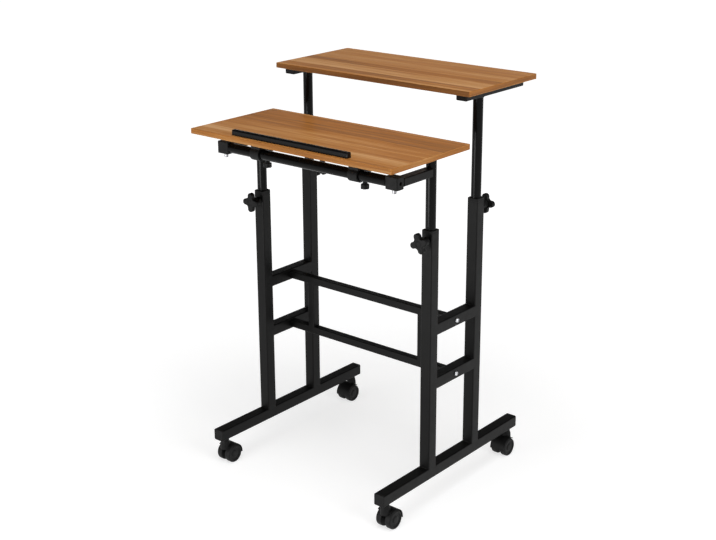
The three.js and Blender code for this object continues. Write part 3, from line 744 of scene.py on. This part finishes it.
side_rail = square_tube(
    "side_rail_tube_right", (FOOT_X - RAIL_WIDTH / 2, RAIL_FRONT, RAIL_Z - RAIL_HEIGHT / 2),
    (FOOT_X + RAIL_WIDTH / 2, RAIL_REAR, RAIL_Z + RAIL_HEIGHT / 2), 1, RAIL_CORNER, TUBE_WALL)
drill(side_rail, (FOOT_X, FRONT_Y, RAIL_Z - 0.015), (0, 0, 0.03), BORE_RADIUS, 72)
dress_pair(side_rail, satin_powder_coat, "frame_steel", "desk_frame", "side_rail_right")

rail_beads = []
for way in (-1, 1):
    bead = weld_bead("rail_weld", 0.0175, FINE_BEAD_RADIUS)
    put(bead, (FOOT_X + way * 0.0087, RAIL_REAR + 0.0003, RAIL_Z))
    rail_beads.append(bead)
dress_pair(joined("side_rail_welds_right", rail_beads), satin_powder_coat, "frame_steel", "desk_frame")


# Front rail: the same round tube as the posts, laid across between the corner blocks. The desk
# top tilts on it.
AXIS_Y = -0.22
FRONT_RAIL_HALF = 0.2462

front_rail = round_tube("front_rail_tube", -FRONT_RAIL_HALF, FRONT_RAIL_HALF)
turn(front_rail, 1, 90)
put(front_rail, (0, AXIS_Y, RAIL_Z))
dress(front_rail, smooth_black_paint, "slide_steel", "desk_frame", "front_rail")


# Corner blocks: moulded plastic, with a round spigot in the front rail and a square one in the
# side rail. A hole through the outer face shows the rail's bore, and a zinc screw with a tall
# round head and a cross recess comes up from below.
BLOCK_LOW = (0.2465, -0.233, 0.835)
BLOCK_HIGH = (0.2825, -0.207, 0.865)
BLOCK_X = 0.2645
SPIGOT_HALF = 0.0107
SCREW_HEAD = 0.0105
SLOT_HALF = 0.0004


def cross_recess(screw, face, half, depth):
    for long, short in ((half, SLOT_HALF), (SLOT_HALF, half)):
        cut_with(screw, block("slot", (-long, -short, face - 0.001), (long, short, face + depth)))


corner_block = block("corner_block_moulding_right", BLOCK_LOW, BLOCK_HIGH)
round_edges(corner_block, running_along(2), 0.0045, 6)
round_edges(corner_block, lying_at(2, BLOCK_LOW[2], BLOCK_HIGH[2]), 0.0012, 3)
square_spigot = block("square_spigot", (FOOT_X - SPIGOT_HALF, -0.209, RAIL_Z - 0.0082),
                      (FOOT_X + SPIGOT_HALF, -0.182, RAIL_Z + 0.0082))
round_edges(square_spigot, running_along(1), 0.0017, 2)
cut_with(corner_block, square_spigot, "UNION")
round_spigot = disc("round_spigot", SPIGOT_HALF, 0.0125, 0)
put(round_spigot, (0.237, AXIS_Y, RAIL_Z))
cut_with(corner_block, round_spigot, "UNION")
drill(corner_block, (0.29, AXIS_Y, RAIL_Z), (-0.07, 0, 0), 0.004)
countersink = turned("countersink", [(0.004, 0.2815), (0.0053, 0.2831)])
turn(countersink, 1, 90)
put(countersink, (0, AXIS_Y, RAIL_Z))
cut_with(corner_block, countersink)
drill(corner_block, (BLOCK_X, AXIS_Y, BLOCK_LOW[2] - 0.002), (0, 0, 0.0115), 0.0023)

block_screw = turned("block_screw_right", [
    (0.0038, -SCREW_HEAD), (0.0045, 0.0004 - SCREW_HEAD), (0.0049, 0.0012 - SCREW_HEAD),
    (0.0049, -0.0012), (0.0046, -0.0009), (0.0046, 0), (0.002, 0), (0.002, 0.0084), (0.0012, 0.009),
])
cross_recess(block_screw, -SCREW_HEAD, 0.0026, 0.0016)
put(block_screw, (BLOCK_X, AXIS_Y, BLOCK_LOW[2] - 0.0003))
# Painted shade: a darkened copy of the bright zinc for the screws that sit in shade under the desk top.
shaded_zinc = plated("shaded_zinc", (0.2, 0.2, 0.21), (0.34, 0.34, 0.35))
dress_pair(corner_block, moulded_plastic, "black_plastic", "desk_frame", "corner_block_right")
dress_pair(block_screw, shaded_zinc, "zinc", "desk_frame", "corner_screw_right")


# Boards: chipboard, 13 mm thick, under a wood-grain laminate printed as long strips that run the
# length of the desk. Edging is ironed round all four sides, and the arrises are broken. The edging
# on the long edges is painted darker as painted shade, a little on the desk and much more on the
# shelf, whose front edge lies in the desk top's shadow.
BOARD_CORNER = 0.004
BOARD_ARRIS = 0.0009
EDGE_BAND = 0.0012
STRIP_WIDTH = 0.031


def strip_laminate(name, along, across, stops):
    material, tree, shader = new_finish(name, stops[2][1], 0.42, specular=0.15)
    split = tree.nodes.new("ShaderNodeSeparateXYZ")
    tree.links.new(on_object(tree), split.inputs[0])
    count = tree.nodes.new("ShaderNodeMath")
    count.operation = "MULTIPLY_ADD"
    count.inputs[1].default_value = 1 / STRIP_WIDTH
    count.inputs[2].default_value = 0.37
    tree.links.new(split.outputs[across], count.inputs[0])
    strip = tree.nodes.new("ShaderNodeMath")
    strip.operation = "FLOOR"
    tree.links.new(count.outputs[0], strip.inputs[0])
    chance = tree.nodes.new("ShaderNodeTexWhiteNoise")
    chance.noise_dimensions = "1D"
    tree.links.new(strip.outputs[0], chance.inputs["W"])

    moved = tree.nodes.new("ShaderNodeVectorMath")
    moved.operation = "MULTIPLY_ADD"
    moved.inputs[1].default_value = (3, 3, 3)
    tree.links.new(chance.outputs["Color"], moved.inputs[0])
    tree.links.new(on_object(tree), moved.inputs[2])

    def grain(stretch, shrink, detail):
        mapping = tree.nodes.new("ShaderNodeMapping")
        scale = [shrink, shrink, shrink]
        scale[along] = stretch
        mapping.inputs["Scale"].default_value = scale
        tree.links.new(moved.outputs[0], mapping.inputs["Vector"])
        return speckle(tree, mapping.outputs["Vector"], 1, detail, 0.62)

    def add(a, b, share):
        mix = tree.nodes.new("ShaderNodeMath")
        mix.operation = "MULTIPLY_ADD"
        mix.inputs[1].default_value = share
        tree.links.new(b, mix.inputs[0])
        tree.links.new(a, mix.inputs[2])
        return mix.outputs[0]

    broad = grain(2, 34, 3)
    streaks = grain(3.5, 110, 3)
    fine = grain(9, 420, 3)
    total = add(spread(tree, chance.outputs["Value"], 0.0, 0.18, 0.0, 1.0), broad, 0.34)
    total = add(total, streaks, 0.36)
    total = add(total, fine, 0.2)
    tree.links.new(tint(tree, total, stops), shader.inputs["Base Color"])
    tree.links.new(spread(tree, broad, 0.36, 0.46), shader.inputs["Roughness"])
    relief(tree, shader, fine, 0.00004)
    return material


WOOD_STOPS = [
    (0.37, (0.22, 0.088, 0.02)), (0.45, (0.33, 0.125, 0.026)), (0.53, (0.42, 0.163, 0.034)),
    (0.6, (0.5, 0.235, 0.072)), (0.69, (0.62, 0.34, 0.15)),
]


# Scales the colours of the stops down: painted shade for the boards' long edges.
def shaded(stops, share):
    return [(place, [share * part for part in colour]) for place, colour in stops]


wood_laminate = strip_laminate("strip_wood_laminate", 0, 1, WOOD_STOPS)
end_edging = strip_laminate("end_grain_edging", 1, 2, WOOD_STOPS)


def laminated_board(name, low, high):
    board = block(name, low, high)
    round_edges(board, running_along(2), BOARD_CORNER, 6)
    round_edges(board, lying_at(2, low[2], high[2]), BOARD_ARRIS, 3)
    return board


def edge_with(board, edging, axis, low, high):
    middle = (low[axis] + high[axis]) / 2
    reach = (high[axis] - low[axis]) / 2 - EDGE_BAND
    board.data.materials.append(edging)
    open_for_edit(board)
    pick_faces(board, lambda centre, normal: abs(centre[axis] - middle) > reach and abs(normal.z) < 0.5)
    board.active_material_index = len(board.data.materials) - 1
    bpy.ops.object.material_slot_assign()
    bpy.ops.object.mode_set(mode="OBJECT")


# The second column is each board's painted shade on its long edges, the share of the wood colour they keep.
BOARDS = {
    "desk": ("table", 0.92, (-0.313, -0.292, 0.89), (0.313, 0.002, 0.903)),
    "shelf": ("shelf", 0.55, (-0.304, 0.006, 1.01), (0.304, 0.292, 1.023)),
}
for kind, (body, painted_edge_shade, low, high) in BOARDS.items():
    board = laminated_board(kind + "_board", low, high)
    dress(board, wood_laminate, "board", body, kind + "_top")
    edge_with(board, end_edging, 0, low, high)
    shaded_long_edging = strip_laminate(kind + "_front_edging", 0, 2, shaded(WOOD_STOPS, painted_edge_shade))
    edge_with(board, shaded_long_edging, 1, low, high)


# Stop: a glossy black plastic strip screwed along the front of the desk top, with its upper
# edges rounded over and its ends softened. It keeps things on the tilted top.
STOP_LOW = (-0.18, -0.282, 0.9031)
STOP_HIGH = (0.18, -0.2685, 0.9168)

gloss_plastic = coated("glossy_black_plastic", (0.0015, 0.0015, 0.0017), (0.003, 0.003, 0.0034),
                       (0.22, 0.32), 0.16, 500, 0.00003)
stop = block("edge_stop", STOP_LOW, STOP_HIGH)
round_edges(stop, lambda a, b: min(a.z, b.z) > 0.91 and abs(a.x - b.x) > 0.1, 0.004, 6)
round_edges(stop, lying_at(0, STOP_LOW[0], STOP_HIGH[0]), 0.0012, 2)
dress(stop, gloss_plastic, "gloss_black_plastic", "table", "front_stop")


# Tilt clamps: plastic split clamps that hold the desk top on the front rail. A ring, two lips, a
# neck and a screwed flange are one moulding.
CLAMP_X = 0.154
CLAMP_HALF = 0.014
RING_RADIUS = 0.0168
NECK_HALF = 0.011
LIP_HALF = 0.0075
LIP_SCREW_Y = -0.189
SLIT_HALF = 0.0015
GUSSET_LOW = 0.8777
FLANGE_LOW = 0.8857
FLANGE_HIGH = 0.8897


def clamp_block(name, start, end, low, high):
    return block(name, (CLAMP_X - CLAMP_HALF, AXIS_Y + start, low),
                 (CLAMP_X + CLAMP_HALF, AXIS_Y + end, high))


tilt_clamp = disc("tilt_clamp_moulding_right", RING_RADIUS, CLAMP_HALF, 0, 72)
put(tilt_clamp, (CLAMP_X, AXIS_Y, RAIL_Z))
lips = clamp_block("lips", 0.008, 0.04, RAIL_Z - LIP_HALF, RAIL_Z + LIP_HALF)
round_edges(lips, lambda a, b: min(a.y, b.y) > LIP_SCREW_Y and abs(a.z - b.z) > 0.01, 0.004, 4)
cut_with(tilt_clamp, lips, "UNION")
cut_with(tilt_clamp, clamp_block("saddle", -NECK_HALF, NECK_HALF, RAIL_Z + 0.009, 0.887), "UNION")
for way, reach in ((1, 0.008), (-1, 0.004)):
    root = way * 0.01
    tip = way * (NECK_HALF + reach)
    gusset = clamp_block("gusset", min(root, tip), max(root, tip), GUSSET_LOW, 0.8862)
    at_tip = lying_at(1, AXIS_Y + tip)
    round_edges(gusset, lambda a, b: max(a.z, b.z) < GUSSET_LOW + 0.0003 and at_tip(a, b), reach * 0.97, 1)
    cut_with(tilt_clamp, gusset, "UNION")
flange = clamp_block("flange", -0.024, 0.048, FLANGE_LOW, FLANGE_HIGH)
round_edges(flange, running_along(2), 0.004, 5)
cut_with(tilt_clamp, flange, "UNION")
drill(tilt_clamp, (CLAMP_X - 0.02, AXIS_Y, RAIL_Z), (0.04, 0, 0), BORE_RADIUS, 72)
slit = block("slit", (CLAMP_X - 0.02, AXIS_Y, RAIL_Z - SLIT_HALF),
             (CLAMP_X + 0.02, AXIS_Y + 0.045, RAIL_Z + SLIT_HALF))
cut_with(tilt_clamp, slit)
drill(tilt_clamp, (CLAMP_X, LIP_SCREW_Y, RAIL_Z - 0.01), (0, 0, 0.02), 0.0033)
dress_pair(tilt_clamp, moulded_plastic, "black_plastic", "table", "tilt_clamp_right")


# Flange screws: four small zinc pan heads with cross recesses under each tilt clamp's flange
# hold it to the board.
pan_head = turned("pan_head", [
    (0.0018, -0.0022), (0.0027, -0.0019), (0.0032, -0.001), (0.0032, 0), (0.0014, 0.0001), (0.0014, 0.0036),
], facets=24)
cross_recess(pan_head, -0.0022, 0.0015, 0.0009)
heads = []
for x in (-0.0085, 0.0085):
    for y in (-0.0205, 0.0425):
        heads.append(copied(pan_head, "flange_screw", move=(CLAMP_X + x, AXIS_Y + y, FLANGE_LOW)))
dress_pair(joined("flange_screws_right", heads), bright_zinc, "zinc", "table")
bpy.data.objects.remove(pan_head)


# Tilt knobs: fluted black plastic knobs with a waisted hub. Each turns a zinc screw that draws
# the two lips together.
KNOB_LOW = 0.81
KNOB_NECK = 0.8205
KNOB_SEAT = 0.841
GRIP_RADIUS = 0.01
FLUTES = 6
FLUTE_CIRCLE = 0.0112

tilt_knob = disc("tilt_knob_grip_right", GRIP_RADIUS, (KNOB_NECK - KNOB_LOW) / 2, 2, 72)
put(tilt_knob, (0, 0, (KNOB_NECK + KNOB_LOW) / 2))
for flute in range(FLUTES):
    angle = 2 * math.pi * (flute + 0.5) / FLUTES
    start = (FLUTE_CIRCLE * math.cos(angle), FLUTE_CIRCLE * math.sin(angle), KNOB_LOW - 0.002)
    drill(tilt_knob, start, (0, 0, 0.016), 0.003, 24)
soften(tilt_knob, 0.0008, 3, 30)
waist = turned("waist", [
    (0.0072, KNOB_NECK - 0.001), (0.0068, KNOB_NECK + 0.0012), (0.0053, KNOB_NECK + 0.0045),
    (0.0048, KNOB_NECK + 0.009), (0.0048, KNOB_SEAT - 0.005), (0.0062, KNOB_SEAT - 0.003),
    (0.0062, KNOB_SEAT),
], facets=32)
tilt_knob = joined("tilt_knob_grip_right", [tilt_knob, waist])
put(tilt_knob, (CLAMP_X, LIP_SCREW_Y, 0))
tilt_screw = turned("tilt_knob_screw_right", [
    (0.003, KNOB_SEAT - 0.001), (0.003, 0.8599), (0.0022, 0.8605),
], facets=32)
put(tilt_screw, (CLAMP_X, LIP_SCREW_Y, 0))
for piece, material, slot in (
        (tilt_knob, moulded_plastic, "black_plastic"), (tilt_screw, bright_zinc, "zinc")):
    twin = mirrored(piece)
    dress(piece, material, slot, "tilt_knob_r", "tilt_knob_right")
    dress(twin, material, slot, "tilt_knob_l", "tilt_knob_left")


# Shelf posts: the same round tube as the desk posts, sliding in the rear posts, with the same
# glide on the lower end. A weld ring joins each to its bracket.
SHELF_POST_LOW = 0.443
SHELF_POST_TOP = 0.9944

slide_pair("shelf", REAR_Y, SHELF_POST_LOW, SHELF_POST_TOP, "shelf")
ring_weld = turned("shelf_post_weld_right", [
    (0.0125, 0.9924), (0.0133, 0.9928), (0.0141, 0.9936), (0.0145, 0.9946), (0.0125, 0.9946),
], facets=48, hollow=True)
put(ring_weld, (FOOT_X, REAR_Y, 0))
dress_pair(ring_weld, satin_powder_coat, "frame_steel", "shelf")


# Shelf brackets: 30 x 15 mm tube under each end of the shelf, closed by plastic plugs. Two zinc
# pan-head screws pass up through each into the board.
BRACKET_LOW = 0.9947
BRACKET_HIGH = 1.0097
BRACKET_FRONT = 0.022
BRACKET_REAR = 0.262
BRACKET_HALF = 0.015
BRACKET_CORNER = 0.0025
SCREW_HOLE = 0.003

bracket = square_tube(
    "shelf_bracket_tube_right", (FOOT_X - BRACKET_HALF, BRACKET_FRONT + PLUG_PROUD, BRACKET_LOW),
    (FOOT_X + BRACKET_HALF, BRACKET_REAR - PLUG_PROUD, BRACKET_HIGH), 1, BRACKET_CORNER, TUBE_WALL)
bracket_plug = end_plug(
    "bracket_plug_front_right", (FOOT_X - BRACKET_HALF, BRACKET_FRONT, BRACKET_LOW),
    (FOOT_X + BRACKET_HALF, BRACKET_FRONT + PLUG_PROUD, BRACKET_HIGH), BRACKET_CORNER, TUBE_WALL + PLUG_PLAY)
rear_plug = copied(bracket_plug, "bracket_plug_rear_right", move=(0, BRACKET_FRONT + BRACKET_REAR, 0),
                   flip=(1, -1, 1))
shelf_screws = []
for y in (0.067, 0.217):
    screw = turned("shelf_screw", [
        (0.0026, -0.0024), (0.0036, -0.0021), (0.0044, -0.0012), (0.0045, 0), (0.0022, 0.0001),
        (0.0022, 0.022), (0.0005, 0.0252),
    ], facets=32)
    cross_recess(screw, -0.0024, 0.0021, 0.0011)
    put(screw, (FOOT_X, y, BRACKET_LOW))
    drill(bracket, (FOOT_X, y, BRACKET_LOW - 0.002), (0, 0, 0.02), SCREW_HOLE)
    shelf_screws.append(screw)
dress_pair(bracket, satin_powder_coat, "frame_steel", "shelf", "shelf_bracket_right")
dress_pair(bracket_plug, moulded_plastic, "black_plastic", "shelf", "shelf_bracket_right")
dress_pair(rear_plug, moulded_plastic, "black_plastic", "shelf", "shelf_bracket_right")
dress_pair(joined("shelf_screws_right", shelf_screws), bright_zinc, "zinc", "shelf", "shelf_bracket_right")


# Clamp knobs: black plastic heads with four rounded arms, on a hub that widens towards them.
# Each turns a black screw through the boss that presses the sliding post, and its cap is let in.
POST_FACE = 0.106
HUB_BASE = 0.009
HEAD_BASE = 0.021
HEAD_TOP = 0.033
ARM_HALF = 0.008
ARM_REACH = 0.025
THREAD_PITCH = 0.00125
KNOB_TURNS = {"front_left": 0, "front_right": 22, "rear_left": 30, "rear_right": 0}

head = block("clamp_knob_head", (-ARM_HALF, -ARM_HALF, HEAD_BASE), (ARM_HALF, ARM_HALF, HEAD_TOP))
for axis in (0, 1):
    for way in (-1, 1):
        open_for_edit(head)
        pick_faces(head, lambda c, n: way * n[axis] > 0.95 and abs(c[1 - axis]) < 0.001)
        step = [0, 0, 0]
        step[axis] = way * (ARM_REACH - ARM_HALF)
        bpy.ops.mesh.extrude_region_move(TRANSFORM_OT_translate={"value": step})
        bpy.ops.object.mode_set(mode="OBJECT")
upright = running_along(2)
round_edges(head, lambda a, b: upright(a, b) and max(abs(a.x), abs(a.y)) > 0.02, 0.0076, 8)
round_edges(head, lambda a, b: upright(a, b) and max(abs(a.x), abs(a.y)) < ARM_HALF + 1e-5, 0.0074, 7)
open_for_edit(head)
bpy.ops.mesh.select_all(action="SELECT")
bpy.ops.mesh.dissolve_limited(angle_limit=math.radians(1))
bpy.ops.object.mode_set(mode="OBJECT")
round_edges(head, lying_at(2, HEAD_TOP), 0.0026, 4)
round_edges(head, lying_at(2, HEAD_BASE), 0.0015, 3)
drill(head, (0, 0, HEAD_TOP + 0.001), (0, 0, -0.0022), 0.0072, 48)
cap = turned("cap", [
    (0.0069, HEAD_TOP - 0.0015), (0.0069, HEAD_TOP - 0.0006), (0.006, HEAD_TOP - 0.0001), (0.003, HEAD_TOP),
])
knob_hub = turned("knob_hub", [
    (0.0084, HUB_BASE), (0.009, HUB_BASE + 0.0006), (0.0092, 0.012), (0.0098, 0.016), (0.0108, 0.0195),
    (0.0112, 0.0222),
])
knob_body = joined("clamp_knob", [head, cap, knob_hub])
thread = [(0.003, -0.0013), (0.0038, -0.0006)]
for ridge in range(8):
    thread += [(0.004, 0.0006 + ridge * THREAD_PITCH), (0.0036, 0.0012 + ridge * THREAD_PITCH)]
knob_screw = turned("clamp_knob_screw", thread + [(0.004, 0.0112)], facets=32)

for corner, degrees in KNOB_TURNS.items():
    end, side = corner.split("_")
    across, along = CORNERS[corner]
    place = (across * FOOT_X, along * POST_FACE, FRONT_KNOB_Z if end == "front" else REAR_KNOB_Z)
    for model, kind, material, slot in (
            (knob_body, "head", moulded_plastic, "black_plastic"),
            (knob_screw, "screw", smooth_black_paint, "slide_steel")):
        piece = copied(model, f"{end}_clamp_{kind}_{side}")
        turn(piece, 2, degrees)
        turn(piece, 0, -along * 90)
        put(piece, place)
        dress(piece, material, slot, "clamp_knob_" + end[0] + side[0], f"{end}_clamp_knob_{side}")
bpy.data.objects.remove(knob_body)
bpy.data.objects.remove(knob_screw)


# Studio: a white floor that keeps the desk's shadow, and a sky that is white to the camera but, in
# reflections, only along the horizon. Three large soft lamps light the desk, and a wide low one
# runs its light down the round tubes.
bpy.ops.object.select_all(action="DESELECT")
bpy.ops.mesh.primitive_plane_add(size=60, location=(0, 0, 0))
floor = bpy.context.object
floor.name = "studio_floor"
white, tree, shader = new_finish("white_floor", (0.5, 0.5, 0.5), 0.9, specular=0.0)
path = tree.nodes.new("ShaderNodeLightPath")
seen = path.outputs["Is Camera Ray"]
for ray in ("Is Glossy Ray", "Is Transmission Ray"):
    either = tree.nodes.new("ShaderNodeMath")
    either.operation = "ADD"
    either.use_clamp = True
    tree.links.new(seen, either.inputs[0])
    tree.links.new(path.outputs[ray], either.inputs[1])
    seen = either.outputs[0]
place = tree.nodes.new("ShaderNodeTexCoord")
far = tree.nodes.new("ShaderNodeVectorMath")
far.operation = "LENGTH"
tree.links.new(place.outputs["Object"], far.inputs[0])
lift = tree.nodes.new("ShaderNodeMath")
lift.operation = "MULTIPLY"
tree.links.new(seen, lift.inputs[0])
tree.links.new(spread(tree, far.outputs["Value"], 0.68, 1.0, 0.6, 2.6), lift.inputs[1])
shader.inputs["Emission Color"].default_value = (1, 1, 1, 1)
tree.links.new(lift.outputs[0], shader.inputs["Emission Strength"])
floor.data.materials.append(white)

room = bpy.data.worlds.new("studio_room")
bpy.context.scene.world = room
room.use_nodes = True
tree = room.node_tree
sky = tree.nodes["Background"]
place = tree.nodes.new("ShaderNodeTexCoord")
split = tree.nodes.new("ShaderNodeSeparateXYZ")
tree.links.new(place.outputs["Generated"], split.inputs[0])
height = tint(tree, split.outputs["Z"], [(0.1, (1, 1, 1)), (0.18, (0.06, 0.06, 0.06))])
path = tree.nodes.new("ShaderNodeLightPath")
backdrop = tree.nodes.new("ShaderNodeMath")
backdrop.operation = "ADD"
backdrop.use_clamp = True
tree.links.new(height, backdrop.inputs[0])
tree.links.new(path.outputs["Is Camera Ray"], backdrop.inputs[1])
tree.links.new(backdrop.outputs[0], sky.inputs["Color"])


def soft_lamp(name, place, target, width, height, power):
    data = bpy.data.lights.new(name, "AREA")
    data.shape = "RECTANGLE"
    data.size = width
    data.size_y = height
    data.energy = power
    lamp = bpy.data.objects.new(name, data)
    bpy.context.scene.collection.objects.link(lamp)
    direction = Vector(target) - Vector(place)
    lamp.matrix_world = Matrix.Translation(place) @ direction.to_track_quat("-Z", "Y").to_matrix().to_4x4()


MID_DESK = (0, 0, 0.6)
soft_lamp("overhead_lamp", (0.5, -0.6, 3.6), MID_DESK, 2.6, 2.6, 72)
soft_lamp("right_lamp", (3.4, -0.6, 1.9), MID_DESK, 1.8, 1.8, 55)
soft_lamp("front_lamp", (-1.2, -3.6, 2.0), MID_DESK, 1.8, 1.8, 16)
soft_lamp("low_lamp", (-0.2, -2.15, 0.31), (0.27, 0, 0.45), 1.2, 0.45, 18)

bpy.context.scene.view_settings.view_transform = "Standard"

low, high = cad_bounds
